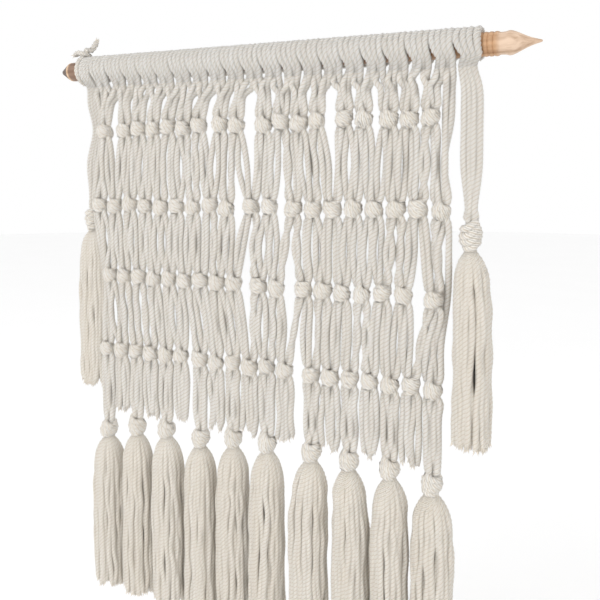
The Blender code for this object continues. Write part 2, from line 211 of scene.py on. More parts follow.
# Camera, floor and light
CAMERA_PLACE = (0.3365, -0.586, -0.1157)
CAMERA_TURN = (90.0 - 3.333, -0.057, 25.765)  # degrees
CAMERA_SHIFT = (-0.0239, -0.13)
FLOOR_RADIUS = 8.0
FLOOR_HEIGHT = -0.72
LAMP_TARGET = Vector((0.0, 0.0, -0.25))
Lamp = namedtuple("Lamp", "name place size share")
LAMPS = (
    Lamp("key", (-1.1, -1.9, 1.3), 1.6, 1.0),
    Lamp("fill", (1.7, -1.3, 0.3), 1.6, 0.35),
    Lamp("low", (-0.2, -1.8, -0.45), 1.2, 0.35),
)

# The last field is painted shade: how far a stop's yarn is darkened and warmed towards the dark yarn; 1
# in a knot's wrap, 0.3 elsewhere in a knot, 0 by default
Stop = namedtuple("Stop", "x y z squeeze part warm", defaults=(0.0,))
Length = namedtuple("Length", "rings tint along parts ends")


def colour_setting(name, description, default):
    """A setting that holds a colour."""
    return FloatVectorProperty(
        name=name, description=description, default=default, size=3, subtype="COLOR", min=0.0, max=1.0)


class MacrameYarn(bpy.types.PropertyGroup):
    """Sizes and colours of the yarn"""

    thickness: FloatProperty(
        name="Thickness", description="Across the yarn's three plies", default=0.0066,
        min=0.001, unit="LENGTH", precision=4)
    turn_length: FloatProperty(
        name="Turn length", description="Length of yarn in which a ply goes once round", default=0.0112,
        min=0.004, unit="LENGTH", precision=4)
    light: colour_setting("Light", "The palest yarn", (0.9, 0.895, 0.875))
    # Dark is the yarn's own warmer tone, and also the painted shade that knots' wraps are pulled
    # towards
    dark: colour_setting("Dark", "The warmest yarn", (0.8, 0.76, 0.695))
    # Crease: painted shade, the colour that the creases between plies are darkened towards
    crease_shade: colour_setting("Crease shade", "Between two plies", (0.6, 0.51, 0.39))


class MacrameKnots(bpy.types.PropertyGroup):
    """How even the knots are"""

    tilt: FloatProperty(
        name="Tilt", description="How far a knot's wrap leans, at most", default=math.radians(32),
        min=0.0, subtype="ANGLE")
    uneven: FloatProperty(
        name="Uneven", description="How far a yarn wanders from its place", default=0.0012,
        min=0.0, unit="LENGTH", precision=4)
    crossed: FloatProperty(
        name="Crossed", description="Share of the pairs of yarns that cross between two rows",
        default=0.25, min=0.0, max=1.0, subtype="FACTOR")


class MacrameRod(bpy.types.PropertyGroup):
    """Colours of the rod"""

    pale: colour_setting("Pale wood", "The rod's worn rings", (0.63, 0.45, 0.3))
    peach: colour_setting("Peach wood", "The rod's right tip", (0.66, 0.49, 0.36))
    tan: colour_setting("Tan wood", "The beads at the rod's right end", (0.52, 0.31, 0.17))
    brown: colour_setting("Brown wood", "The rod's left end", (0.25, 0.155, 0.105))
    tip: colour_setting("Tip", "The worn tip at the left end", (0.13, 0.095, 0.075))


class MacrameStage(bpy.types.PropertyGroup):
    """Camera and light"""

    lens: FloatProperty(
        name="Lens", description="The camera's focal length, in millimetres", default=42.0, min=10.0,
        unit="CAMERA")
    key: FloatProperty(
        name="Key light", description="Power of the large light in front", default=16.0, min=0.0,
        unit="POWER")
    sky: FloatProperty(
        name="Sky", description="Strength of the white surroundings", default=1.0, min=0.0)


# ---------- yarn

def rod_height(x):
    """Height of the rod's axis, which leans down to the right."""
    return -ROD_LEAN * x / ROD_HALF


def smooth_line(stops, step):
    """A smooth line through the stops: points a step apart, and each one's distance from the start,
    squeeze and place among the stops."""
    places = np.array([(stop.x, stop.y, stop.z) for stop in stops])
    squeezes = np.array([stop.squeeze for stop in stops])
    gaps = np.sqrt(np.linalg.norm(np.diff(places, axis=0), axis=1))
    clock = np.concatenate([[0.0], np.cumsum(gaps)])
    slopes = np.gradient(places, clock, axis=0)
    count = FINE * (len(stops) - 1) + 1
    index = np.linspace(0, len(stops) - 1, count)
    start = np.minimum(index.astype(int), len(stops) - 2)
    share = (index - start)[:, None]
    width = gaps[start][:, None]
    line = (
        (2 * share**3 - 3 * share**2 + 1) * places[start]
        + (share**3 - 2 * share**2 + share) * width * slopes[start]
        + (3 * share**2 - 2 * share**3) * places[start + 1]
        + (share**3 - share**2) * width * slopes[start + 1]
    )
    along = np.concatenate([[0.0], np.cumsum(np.linalg.norm(np.diff(line, axis=0), axis=1))])
    even = np.linspace(0.0, along[-1], max(3, round(along[-1] / step) + 1))
    points = np.stack([np.interp(even, along, line[:, axis]) for axis in range(3)], axis=1)
    where = np.interp(even, along, index)
    return points, even, np.interp(where, np.arange(len(stops)), squeezes), where


def carried_frame(points):
    """Two unit vectors across the line at each point, carried along it without turning."""
    along = np.gradient(points, axis=0)
    along /= np.linalg.norm(along, axis=1)[:, None]
    first = np.empty_like(points)
    start = np.array((1.0, 0.0, 0.0)) if abs(along[0][0]) < 0.8 else np.array((0.0, 1.0, 0.0))
    for i, ahead in enumerate(along):
        start = start - ahead * start.dot(ahead)
        start /= math.sqrt(start.dot(start))
        first[i] = start
    return first, np.cross(along, first)


def lay(stops, yarn, rng, cut_start=False, cut_end=False, step=STEP):
    """A length of three-ply yarn along the stops."""
    points, along, squeeze, where = smooth_line(stops, step)
    radius = yarn.thickness / 2 * squeeze
    for is_cut, inward in ((cut_start, along), (cut_end, along[-1] - along)):
        if is_cut:
            radius *= 1.0 - 0.35 * np.exp(-inward / (0.2 * yarn.thickness))
    across, upward = carried_frame(points)
    turn = rng.random() + along / yarn.turn_length
    angles = math.tau * (turn[:, None] + np.arange(SIDES_OF_YARN) / SIDES_OF_YARN)
    reach = radius[:, None] * np.where(np.arange(SIDES_OF_YARN) % 2, VALLEY, 1.0)
    rings = (
        points[:, None, :] + (reach * np.cos(angles))[..., None] * across[:, None, :]
        + (reach * np.sin(angles))[..., None] * upward[:, None, :]
    )
    parts = [stops[min(int(at + 1e-6), len(stops) - 1)].part for at in where]
    ends = []
    for is_cut, at, beside in ((cut_start, 0, 1), (cut_end, -1, -2)):
        if is_cut:
            ends.append((points[at], points[at] - points[beside], radius[at]))
    # Each yarn's tone is random, plus painted shade that darkens and warms it towards the dark yarn in
    # a knot's wraps
    warm = np.interp(where, np.arange(len(stops)), [stop.warm for stop in stops])
    tint = 0.7 * rng.random() + 0.3 * warm
    return Length(rings, tint, along / (math.tau * radius.mean()), parts, ends)


def split(lengths):
    """Sort lengths by part: a length that crosses from one part to the next is cut there."""
    sorted_lengths = {}
    for length in lengths:
        parts = length.parts
        starts = [0] + [i for i in range(1, len(parts)) if parts[i] != parts[i - 1]] + [len(parts)]
        for start, end in zip(starts, starts[1:]):
            last = min(end + 1, len(parts))
            if last - start < 2:
                continue
            rings = length.rings[start:last]
            ends = [cut for cut in length.ends if is_at(cut, rings[0]) or is_at(cut, rings[-1])]
            piece = Length(rings, length.tint[start:last], length.along[start:last], None, ends)
            sorted_lengths.setdefault(parts[start], []).append(piece)
    return sorted_lengths


def is_at(cut, ring):
    """Whether a cut end is at this section."""
    return bool(np.allclose(cut[0], ring.mean(axis=0), atol=1e-5))


def tuft(cut, yarn, rng):
    """Loose fibres that stand out of a cut end, each a thin tapered spike: their points and faces."""
    place, ahead, radius = cut
    ahead = ahead / np.linalg.norm(ahead)
    side = np.cross(ahead, (0.3, 1.0, 0.2))
    side /= np.linalg.norm(side)
    other = np.cross(ahead, side)
    points, faces = [], []
    for spike in range(FIBRES_A_TUFT):
        angle = math.tau * (spike + rng.random()) / FIBRES_A_TUFT
        outward = math.cos(angle) * side + math.sin(angle) * other
        root = place + outward * radius * rng.uniform(0.2, 0.75) - ahead * radius * 0.8
        reach = yarn.thickness * rng.uniform(0.45, 0.95)
        middle = root + ahead * reach * 0.55 + outward * reach * 0.1
        tip = root + ahead * reach + outward * reach * rng.uniform(0.15, 0.45)
        thick = yarn.thickness * 0.11
        base = len(points)
        for centre, size in ((root, thick), (middle, thick * 0.9)):
            for corner in range(3):
                turn = math.tau * corner / 3 + angle
                points.append(centre + size * (math.cos(turn) * side + math.sin(turn) * other))
        points.append(tip)
        for corner in range(3):
            after = (corner + 1) % 3
            faces.append((base + corner, base + after, base + 3 + after, base + 3 + corner))
            faces.append((base + 3 + corner, base + 3 + after, base + 6))
        faces.append((base + 2, base + 1, base))
    return points, faces


def yarn_piece(name, lengths, material, yarn, seed):
    """One closed mesh of many lengths of yarn, with the attributes that its material reads."""
    rng = np.random.default_rng(seed)
    sides = SIDES_OF_YARN
    points, faces, tints, grooves, wraps = [], [], [], [], []
    sharp = set()
    base = 0
    for length in lengths:
        count = len(length.rings)
        points.append(length.rings.reshape(-1, 3))
        tints.append(np.repeat(length.tint, sides))
        # Valley vertices are flagged for the material's painted shade in the creases between plies
        grooves.append(np.tile(np.arange(sides) % 2, count))
        ring = np.arange(count - 1)[:, None] * sides + base
        side = np.arange(sides)[None, :]
        after = (side + 1) % sides
        quads = np.stack(
            [ring + side, ring + after, ring + sides + after, ring + sides + side], axis=-1)
        faces.extend(quads.reshape(-1, 4).tolist())
        around = np.broadcast_to(side / sides, (count - 1, sides))
        ahead = around + 1 / sides
        low = np.broadcast_to(length.along[:-1, None], around.shape)
        high = np.broadcast_to(length.along[1:, None], around.shape)
        wraps.append(np.stack([around, low, ahead, low, ahead, high, around, high], axis=-1).ravel())
        last = base + (count - 1) * sides
        faces.append([base + i for i in reversed(range(sides))])
        faces.append([last + i for i in range(sides)])
        for first in (base, last):
            sharp.update((first + i, first + (i + 1) % sides) for i in range(sides))
        wraps.append(np.zeros(4 * sides))
        base += count * sides
        for cut in length.ends:
            spikes, spike_faces = tuft(cut, yarn, rng)
            points.append(np.array(spikes))
            tints.append(np.full(len(spikes), length.tint.mean()))
            grooves.append(np.zeros(len(spikes)))
            faces.extend([base + i for i in face] for face in spike_faces)
            wraps.append(np.zeros(2 * sum(len(face) for face in spike_faces)))
            base += len(spikes)
    mesh = bpy.data.meshes.new(name)
    mesh.from_pydata(np.concatenate(points).tolist(), [], faces)
    mesh.polygons.foreach_set("use_smooth", np.ones(len(mesh.polygons), bool))
    around = mesh.uv_layers.new(name="wrap")
    around.data.foreach_set("uv", np.concatenate(wraps).astype(np.float32))
    for label, values in (("tint", tints), ("groove_shade", grooves)):
        attribute = mesh.attributes.new(label, "FLOAT", "POINT")
        attribute.data.foreach_set("value", np.concatenate(values).astype(np.float32))
    ends = np.zeros(len(mesh.edges) * 2, np.int32)
    mesh.edges.foreach_get("vertices", ends)
    pairs = ends.reshape(-1, 2).tolist()
    edge_sharp = mesh.attributes.new("sharp_edge", "BOOLEAN", "EDGE")
    edge_sharp.data.foreach_set(
        "value", np.array([(a, b) in sharp or (b, a) in sharp for a, b in pairs]))
    mesh.materials.append(material)
    piece = bpy.data.objects.new(name, mesh)
    bpy.context.scene.collection.objects.link(piece)
    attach(piece, BODY)
    return piece


# ---------- net

def knot_places(row):
    """Where a row's knots stand along X: evenly, but further apart at its gaps."""
    spreads = {gap.after: gap.spread for gap in GAPS if gap.row == row.number}
    rest = (row.last - row.first - sum(spreads.values())) / (row.knots - 1 - len(spreads))
    places = [row.first]
    for number in range(1, row.knots):
        places.append(places[-1] + spreads.get(number, rest))
    return places


Knot = namedtuple("Knot", "x y z width height tilt yaw hand")


def draw_knots(row, knots, rng):
    """The row's knots, each a little different from the next."""
    drawn = []
    for place in knot_places(row):
        lean = rng.uniform(-0.35, 1.0) * knots.tilt
        drawn.append(Knot(
            place, 0.0, row.height + rng.uniform(-0.0018, 0.0018),
            rng.uniform(0.94, 1.08), rng.uniform(0.92, 1.06), lean, rng.uniform(-0.5, 0.5),
            1 if rng.random() < 0.7 else -1))
    return drawn


def knot_route(knot, slot, part, rng, thin=1.0, neck=1.0):
    """Stops of one yarn of a bundle through an overhand knot."""
    order = slot - MIDDLE_YARN
    cos_tilt, sin_tilt = math.cos(knot.tilt), math.sin(knot.tilt)
    cos_yaw, sin_yaw = math.cos(knot.yaw), math.sin(knot.yaw)
    route = []
    for number, stop in enumerate(OVERHAND):
        is_wrap = 1 < number < len(OVERHAND) - 3
        offset = order * stop.apart * (1.0 if is_wrap else neck)
        barrel = 1.0 - KNOT_BARREL * (order**2 - 1.25) if is_wrap else 1.0
        x = stop.x * barrel * knot.hand + offset * stop.across_x
        y = stop.y * barrel + offset * stop.across_y
        z = stop.z + offset * stop.across_z
        if number in (0, 1, len(OVERHAND) - 2, len(OVERHAND) - 1):
            y += ALTERNATE_DEPTH * (-1) ** slot
        x, y, z = (value + rng.uniform(-KNOT_UNEVEN, KNOT_UNEVEN) for value in (x, y, z))
        if is_wrap:
            x, y = x * cos_yaw - y * sin_yaw, x * sin_yaw + y * cos_yaw
            x, z = x * cos_tilt + z * sin_tilt, z * cos_tilt - x * sin_tilt
        # A knot's wraps get the full painted shade, its other stops 0.3 of it
        route.append(Stop(
            knot.x + x * knot.width * PACKING, knot.y + y * knot.width * PACKING,
            knot.z + z * knot.height * PACKING, stop.squeeze * thin, part, 1.0 if is_wrap else 0.3))
    return route


def hitch_place(hitch):
    """Middle and width of a hitch on the rod."""
    if hitch == 0:
        return (HEADING_LEFT + NET_LEFT) / 2, NET_LEFT - HEADING_LEFT
    if hitch == HITCHES - 1:
        return (NET_RIGHT + HEADING_RIGHT) / 2, HEADING_RIGHT - NET_RIGHT
    return NET_LEFT + (hitch - 0.5) * HITCH_PITCH, HITCH_PITCH


def tongue_close(hitch):
    """How close a hitch's wraps come together at the tongue's point."""
    return np.interp(hitch, (HITCHES * 0.6, HITCHES - 1), (TONGUE_CLOSE_LEFT, TONGUE_CLOSE_RIGHT))


def tongue_lean(hitch):
    """How far a hitch's wraps sweep to the right: not at all at the left end."""
    return TONGUE_LEAN * min(1.0, hitch / 2)


def hitch_route(hitch, order, part, rng):
    """Stops from the bar behind the rod, over the top and down the front to the tongue's point."""
    middle, width = hitch_place(hitch)
    offset = (order - MIDDLE_YARN) * width / YARNS_A_HITCH
    axis = rod_height(middle)
    bar_x = middle + math.copysign(width / 4, offset)
    route = [Stop(bar_x, WRAP_RADIUS * 0.8, axis - WRAP_RADIUS * 0.85, 0.95, part)]
    for angle in WRAP_TURNS:
        turn = math.radians(angle)
        sweep = max(0.0, (SWEEP_START - angle) / SWEEP_SPAN) ** 1.5
        x = middle + offset * (1.0 - (1.0 - tongue_close(hitch)) * sweep) + tongue_lean(hitch) * sweep
        reach = WRAP_RADIUS * (1.0 + 0.1 * sweep)
        route.append(Stop(
            x + rng.uniform(-1, 1) * 0.0003, -reach * math.sin(turn), axis - reach * math.cos(turn),
            1.14 - 0.12 * sweep, part))
    return route


def net_yarns(settings):
    """Every yarn of the net from its hitch on the rod to the fringe or a tassel's head."""
    yarn, knots = settings.yarn, settings.knots
    rng = np.random.default_rng(3)
    rows = [draw_knots(row, knots, rng) for row in ROWS]
    crossings = {
        (pair, row.number) for pair in range(NET_YARNS // 2) for row in ROWS
        if rng.random() < knots.crossed}
    lengths = []
    for index in range(NET_YARNS):
        hitch = index // YARNS_A_HITCH + 1
        order = index % YARNS_A_HITCH
        hitch_x, _ = hitch_place(hitch)
        stops = hitch_route(hitch, order, "heading", rng)
        under = rod_height(hitch_x) - UNDER_ROD
        beside = -1 if index % 2 == 0 else 1
        tongue_x = hitch_x + tongue_lean(hitch) * 0.7
        offset = (order - MIDDLE_YARN) * PACKING
        above_x = hitch_x + (order - MIDDLE_YARN) * HITCH_PITCH / 4
        stops += [
            Stop(tongue_x + offset * 0.86, -0.0048 - beside * 0.0012, under, 0.98, "net_row_1"),
            Stop(above_x + rng.normal() * knots.uneven, -0.002 + beside * 0.0016, under - 0.009, 1.0,
                 "net_row_1"),
        ]
        for row, drawn in zip(ROWS, rows):
            place = index - (2 if row.knots == ROWS[0].knots else 0)
            number, slot = place // YARNS_A_HITCH, place % YARNS_A_HITCH
            is_edge = not 0 <= number < row.knots
            if is_edge:
                if place < 0:
                    below_x = row.left + (0.5 + index * 0.95) * PACKING
                else:
                    below_x = row.right - (0.5 + (NET_YARNS - 1 - index) * 0.95) * PACKING
            else:
                below_x = drawn[number].x
            middle_x = (above_x + below_x) / 2
            if row.top is None:
                middle_z = (row.height + KNOT_REACH * PACKING + under) / 2
            else:
                middle_z = row.top
                towards = -beside if (index // 2, row.number) in crossings else beside
                middle_x += towards * PACKING * 0.52
            part = f"net_row_{row.number}"
            stops.append(Stop(
                middle_x + rng.normal() * knots.uneven, rng.normal() * knots.uneven + beside * 0.0011,
                middle_z, 1.0, part))
            if is_edge:
                stops.append(Stop(below_x, 0.004 + rng.normal() * knots.uneven, row.height, 1.0, part))
            else:
                stops += knot_route(drawn[number], slot, part, rng)
            above_x = below_x
        last = rows[-1][hitch - 1]
        bottom = ROWS[-1].bottom
        if hitch % 2 == 0:
            end = FRINGE_END + rng.uniform(-1, 1) * FRINGE_UNEVEN
            top_x, middle_x, cut_x = (last.x + offset * apart for apart in FRINGE_APART)
            stops += [
                Stop(top_x, rng.normal() * 0.001, bottom, 1.04, "fringe"),
                Stop(middle_x + rng.normal() * 0.001, rng.normal() * 0.0012, (bottom + end) / 2, 1.04,
                     "fringe"),
                Stop(cut_x + rng.normal() * 0.0016, rng.normal() * 0.0015, end, 1.0, "fringe"),
            ]
            lengths.append(lay(stops, yarn, rng, cut_end=True))
        else:
            tassel = hitch // 2
            part = f"tassel_{tassel + 1:02d}_head"
            top_x, middle_x = (last.x + offset * apart for apart in NECK_APART)
            stops += [
                Stop(top_x, rng.normal() * 0.001, bottom, 1.0, part),
                Stop(middle_x, rng.normal() * 0.001 - 0.0012 * (-1) ** order,
                     (bottom + TASSELS[tassel].head_height) / 2, 1.0, part),
            ]
            head = head_knot(tassel, last.x)
            stops += knot_route(head, order, part, rng, thin=1.12, neck=0.68)[:-2]
            lengths.append(lay(stops, yarn, rng))
    return split(lengths)


def head_knot(tassel, x):
    """The knot of a bottom tassel's head."""
    rng = np.random.default_rng(40 + tassel)
    return Knot(
        x, 0.0, TASSELS[tassel].head_height, rng.uniform(1.06, 1.14), rng.uniform(1.18, 1.3),
        rng.uniform(0.1, 0.5), rng.uniform(-0.4, 0.4), 1 if tassel % 3 else -1)


# ---------- tassels

def skirt_yarns(top, floor, x_top, x_foot, y, left, right, depth, yarn, part, seed):
    """Yarns of a cut skirt that flares from under its knot and hangs straight to the cut."""
    rng = np.random.default_rng(seed)
    inset = yarn.thickness / 2
    lengths = []
    for layer, count in SKIRT_LAYERS:
        for number in range(count):
            angle = math.tau * (number + rng.uniform(-SKIRT_OFF_PLACE, SKIRT_OFF_PLACE)) / count + layer
            shift = rng.uniform(-SKIRT_DRIFT, SKIRT_DRIFT)
            end = floor + rng.uniform(0.0, SKIRT_CUT_UNEVEN)
            stops = [Stop(
                x_top + SKIRT_ROOT_RADIUS * math.cos(angle), y + SKIRT_ROOT_RADIUS * math.sin(angle),
                top + SKIRT_ROOT_RISE, 0.8, part)]
            for down in SKIRT_STOPS:
                spread = np.interp(down, SKIRT_DOWN, SKIRT_SPREAD)
                wave = min(1.0, 4.0 * down)
                turn = angle + shift * down + rng.uniform(-SKIRT_WAVE, SKIRT_WAVE) * wave
                reach = right if math.cos(turn) > 0 else left
                layer_reach = layer * (1.0 + rng.uniform(-SKIRT_WAVE_IN, SKIRT_WAVE_OUT) * wave)
                middle = x_top + (x_foot - x_top) * min(1.0, down / SKIRT_DOWN[-2])
                stops.append(Stop(
                    middle + (reach * spread - inset) * layer_reach * math.cos(turn),
                    y + (depth * spread - inset) * layer_reach * math.sin(turn),
                    top + (end - top) * down, 0.85 if down == 0.0 else 1.0, part))
            lengths.append(lay(stops, yarn, rng, cut_end=True, step=SKIRT_STEP))
    return lengths


# ---------- materials

def add_node(nodes, kind, values=(), **settings):
    """A new node with its inputs and settings set by name."""
    node = nodes.new("ShaderNode" + kind)
    for name, value in dict(values).items():
        node.inputs[name].default_value = value
    for name, value in settings.items():
        setattr(node, name, value)
    return node


def new_material(name):
    """A new material, and its nodes, links and surface shader."""
    material = bpy.data.materials.new(name)
    material.use_nodes = True
    tree = material.node_tree
    return material, tree.nodes, tree.links, tree.nodes["Principled BSDF"]


def mix_colours(nodes, links, share, first, second, blend="MIX"):
    """The colour between the first and the second, or the two multiplied."""
    mix = add_node(nodes, "Mix", data_type="RGBA", blend_type=blend)
    share_input, first_input, second_input = (socket for socket in mix.inputs if socket.enabled)
    if share is None:
        share_input.default_value = 1.0
    else:
        links.new(share, share_input)
    links.new(first, first_input)
    links.new(second, second_input)
    return next(socket for socket in mix.outputs if socket.enabled)


def fibre_group():
    """Colour and height of spun cotton: paler and darker yarns, painted shade on knots' wraps and in
    the creases between plies, fine fibres.
    """
    if "cotton_fibres" in bpy.data.node_groups:
        return bpy.data.node_groups["cotton_fibres"]
    group = bpy.data.node_groups.new("cotton_fibres", "ShaderNodeTree")
    for in_out, name, kind in (
            ("INPUT", "Light", "Color"), ("INPUT", "Dark", "Color"), ("INPUT", "Crease shade", "Color"),
            ("INPUT", "Crease amount", "Float"), ("INPUT", "Fibre scale", "Float"),
            ("OUTPUT", "Color", "Color"), ("OUTPUT", "Height", "Float")):
        group.interface.new_socket(name, in_out=in_out, socket_type="NodeSocket" + kind)
    nodes, links = group.nodes, group.links
    given = nodes.new("NodeGroupInput")
    result = nodes.new("NodeGroupOutput")

    def math_node(operation, first, second=None):
        made = add_node(nodes, "Math", operation=operation)
        for socket, value in zip(made.inputs, (first, second)):
            if value is None:
                continue
            if isinstance(value, (int, float)):
                socket.default_value = value
            else:
                links.new(value, socket)
        return made.outputs[0]

    def plus(first, second):
        return math_node("ADD", first, second)

    def times(first, second):
        return math_node("MULTIPLY", first, second)

    uv = add_node(nodes, "UVMap", uv_map="wrap")
    place = add_node(nodes, "SeparateXYZ")
    links.new(uv.outputs[0], place.inputs[0])
    angle = times(place.outputs[0], math.tau)
    spread = add_node(nodes, "CombineXYZ")
    scale = given.outputs["Fibre scale"]
    links.new(times(math_node("COSINE", angle), scale), spread.inputs[0])
    links.new(times(math_node("SINE", angle), scale), spread.inputs[1])
    links.new(times(place.outputs[1], 1.1), spread.inputs[2])
    fibres = add_node(nodes, "TexNoise", {"Scale": 2.0, "Detail": 3.0, "Roughness": 0.65})
    links.new(spread.outputs[0], fibres.inputs["Vector"])
    coordinates = add_node(nodes, "TexCoord")
    cloudy = add_node(nodes, "TexNoise", {"Scale": 28.0, "Detail": 4.0})
    links.new(coordinates.outputs["Object"], cloudy.inputs["Vector"])
    tint = add_node(nodes, "Attribute", attribute_name="tint")
    groove_shade = add_node(nodes, "Attribute", attribute_name="groove_shade")
    # Random tone per yarn, cloudy blotches and fibres pick between light and dark; the per-yarn
    # attribute also carries the painted shade on knots' wraps
    share = plus(times(tint.outputs["Fac"], 0.55), times(cloudy.outputs["Fac"], 0.5))
    share = plus(share, times(fibres.outputs["Fac"], 1.1))
    share = math_node("SUBTRACT", share, 0.6)
    base = mix_colours(nodes, links, share, given.outputs["Light"], given.outputs["Dark"])
    strand = math_node("ABSOLUTE", math_node("SINE", times(angle, SIDES_OF_YARN / 2)))
    # Painted shade: the section's valleys and the gaps between the plies' helices are darkened towards
    # the crease colour
    between = math_node("POWER", math_node("SUBTRACT", 1.0, strand), 2.0)
    painted_crease_shade = plus(times(groove_shade.outputs["Fac"], 0.6), times(between, 0.6))
    painted_crease_shade = times(painted_crease_shade, given.outputs["Crease amount"])
    links.new(mix_colours(nodes, links, painted_crease_shade, base, given.outputs["Crease shade"]), result.inputs["Color"])
    links.new(plus(times(fibres.outputs["Fac"], 0.5), strand), result.inputs["Height"])
    return group


def cotton(name, yarn, warmth, crease_shade_amount, shade=1.0):
    """Soft undyed cotton, from the shared fibre pattern, with its colours scaled by warmth and shade:
    painted light and shade on copies of the same yarn.
    """
    if name in bpy.data.materials:
        return bpy.data.materials[name]
    material, nodes, links, shader = new_material(name)
    fibres = add_node(nodes, "Group")
    fibres.node_tree = fibre_group()
    # Warmth and shade scale every colour: painted shade where darker or cooler, painted light where
    # brighter, on copies of the same yarn
    warm = (1.0 - 0.05 * warmth, 1.0 - 0.08 * warmth, 1.0 - 0.13 * warmth)
    for socket, colour in (("Light", yarn.light), ("Dark", yarn.dark), ("Crease shade", yarn.crease_shade)):
        fibres.inputs[socket].default_value = (*(c * w * shade for c, w in zip(colour, warm)), 1.0)
    fibres.inputs["Crease amount"].default_value = crease_shade_amount
    fibres.inputs["Fibre scale"].default_value = 4.0
    bump = add_node(nodes, "Bump", {"Strength": 1.0, "Distance": 0.0008})
    links.new(fibres.outputs["Color"], shader.inputs["Base Color"])
    links.new(fibres.outputs["Height"], bump.inputs["Height"])
    links.new(bump.outputs["Normal"], shader.inputs["Normal"])
    for name, value in (("Roughness", 0.95), ("Specular IOR Level", 0.2), ("Sheen Weight", 0.25),
                        ("Sheen Roughness", 0.6)):
        shader.inputs[name].default_value = value
    return material


def turned_wood(rod):
    """Bare wood with long grain, brown at the left end, darker in its grooves and on its tips."""
    material, nodes, links, shader = new_material("turned_wood")
    coordinates = add_node(nodes, "TexCoord")
    stretch = add_node(nodes, "Mapping", {"Scale": (14.0, 260.0, 260.0)})
    links.new(coordinates.outputs["Object"], stretch.inputs["Vector"])
    grain = add_node(nodes, "TexNoise", {"Scale": 1.0, "Detail": 5.0, "Distortion": 0.4})
    links.new(stretch.outputs[0], grain.inputs["Vector"])
    place = add_node(nodes, "SeparateXYZ")
    links.new(coordinates.outputs["Object"], place.inputs[0])
    along = add_node(nodes, "MapRange", {"From Min": -ROD_HALF, "From Max": ROD_HALF})
    links.new(place.outputs["X"], along.inputs["Value"])
    bands = add_node(nodes, "ValToRGB")
    ramp = bands.color_ramp
    pale, brown, tip = tuple(rod.pale), tuple(rod.brown), tuple(rod.tip)
    ring = tuple(c * 0.45 for c in brown)
    cream = tuple(min(1.0, c * 1.25) for c in pale)
    peach, tan = tuple(rod.peach), tuple(rod.tan)
    stations = (
        (0.0, tip), (0.024, tip), (0.0262, cream), (0.028, cream), (0.03, brown), (0.049, brown),
        (0.0515, cream), (0.0545, ring), (0.058, ring), (0.062, brown), (0.3, brown), (0.62, brown),
        (0.88, tan), (0.93, tan), (0.938, peach), (1.0, peach),
    )
    while len(ramp.elements) < len(stations):
        ramp.elements.new(0.5)
    for element, (position, _) in zip(ramp.elements, stations):
        element.position = position
    for element, (_, colour) in zip(ramp.elements, stations):
        element.color = (*colour, 1.0)
    links.new(along.outputs[0], bands.inputs["Fac"])
    streaks = add_node(nodes, "ValToRGB")
    dark, light = streaks.color_ramp.elements
    dark.position, dark.color = 0.3, (0.62, 0.55, 0.48, 1.0)
    light.position, light.color = 0.62, (1.0, 1.0, 1.0, 1.0)
    links.new(grain.outputs["Fac"], streaks.inputs["Fac"])
    wood = mix_colours(nodes, links, None, bands.outputs["Color"], streaks.outputs["Color"], "MULTIPLY")
    links.new(wood, shader.inputs["Base Color"])
    bump = add_node(nodes, "Bump", {"Strength": 0.25, "Distance": 0.0003})
    links.new(grain.outputs["Fac"], bump.inputs["Height"])
    links.new(bump.outputs["Normal"], shader.inputs["Normal"])
    shader.inputs["Roughness"].default_value = 0.5
    return material


def plain_floor():
    """The floor's pale, slightly uneven surface."""
    material, nodes, links, shader = new_material("pale_floor")
    noise = add_node(nodes, "TexNoise", {"Scale": 3.0})
    coordinates = add_node(nodes, "TexCoord")
    links.new(coordinates.outputs["Object"], noise.inputs["Vector"])
    ramp = add_node(nodes, "ValToRGB")
    ramp.color_ramp.elements[0].color = (0.95, 0.95, 0.95, 1.0)
    ramp.color_ramp.elements[1].color = (0.97, 0.97, 0.97, 1.0)
    links.new(noise.outputs["Fac"], ramp.inputs["Fac"])
    links.new(ramp.outputs["Color"], shader.inputs["Base Color"])
    shader.inputs["Roughness"].default_value = 0.9
    return material


# ---------- operators

class MACRAME_OT_rod(bpy.types.Operator):
    """Turn the rod with its ringed ends"""

    bl_idname = "macrame.rod"
    bl_label = "Rod"

    def execute(self, context):
        stations = [(-ROD_HALF + inward, radius) for inward, radius in LEFT_END]
        stations += [(ROD_HALF - inward, radius) for inward, radius in reversed(RIGHT_END)]
        bpy.ops.object.select_all(action="DESELECT")
        first_x, first_radius = stations[0]
        bpy.ops.mesh.primitive_circle_add(
            vertices=48, radius=first_radius, fill_type="NGON", location=(first_x, 0.0, 0.0),
            rotation=(0.0, -math.pi / 2, 0.0))
        rod = context.object
        rod.name = "turned_rod"
        bpy.ops.object.mode_set(mode="EDIT")
        bpy.ops.mesh.select_mode(type="FACE")
        bpy.ops.mesh.select_all(action="SELECT")
        before_x, before_radius = first_x, first_radius
        for x, radius in stations[1:]:
            bpy.ops.mesh.extrude_region_move(
                TRANSFORM_OT_translate={"value": (x - before_x, 0.0, 0.0), "orient_type": "GLOBAL"})
            share = radius / before_radius
            bpy.ops.transform.resize(value=(1.0, share, share), orient_type="GLOBAL",
                                     center_override=(x, 0.0, 0.0))
            before_x, before_radius = x, radius
        bpy.ops.mesh.select_all(action="SELECT")
        bpy.ops.mesh.normals_make_consistent(inside=False)
        bpy.ops.object.mode_set(mode="OBJECT")
        bpy.ops.object.transform_apply(location=True, rotation=True, scale=True)
        rod.rotation_euler = (0.0, math.atan2(ROD_LEAN, ROD_HALF), 0.0)
        bpy.ops.object.transform_apply(location=True, rotation=True, scale=True)
        bpy.ops.object.shade_smooth_by_angle(angle=math.radians(50))
        rod.data.materials.append(turned_wood(context.scene.macrame.rod))
        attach(rod, BODY)
        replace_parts(rod, "rod")
        return {"FINISHED"}


